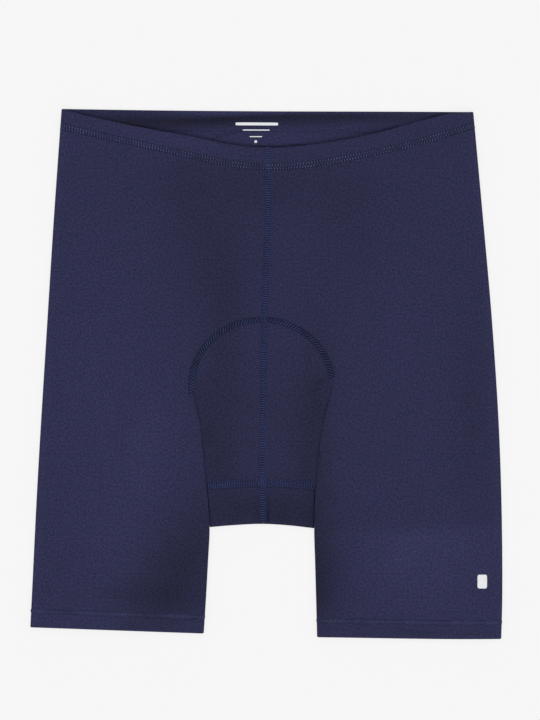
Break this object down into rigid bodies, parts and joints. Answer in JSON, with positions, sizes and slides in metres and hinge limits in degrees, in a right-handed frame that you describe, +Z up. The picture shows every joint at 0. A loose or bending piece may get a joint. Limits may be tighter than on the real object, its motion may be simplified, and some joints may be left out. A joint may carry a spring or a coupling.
{
  "type": "cycling shorts",
  "caption": "Stretch-jersey cycling shorts laid flat, front up, with one-piece legs folded at the sides, a cased elastic waist and turned hems.",
  "frame": {"origin": "centre of the part's footprint, on the surface that it lies on", "axes": "+Z up from the surface, +Y towards the waist, +X towards the wearer's left leg"},
  "size_m": [0.4244, 0.4765, 0.0056],
  "materials": {
    "jersey": "matt navy stretch jersey, fine knit, a faint sheen",
    "waist_casing": "the same jersey turned over a flat elastic",
    "thread": "textured polyester sewing thread, slightly bluer than the cloth",
    "print": "thin heat-pressed print, pale grey"
  },
  "bodies": {
    "root": {"right_leg_panel": "jersey", "left_leg_panel": "jersey", "waistband": "waist_casing"}
  },
  "joints": []
}
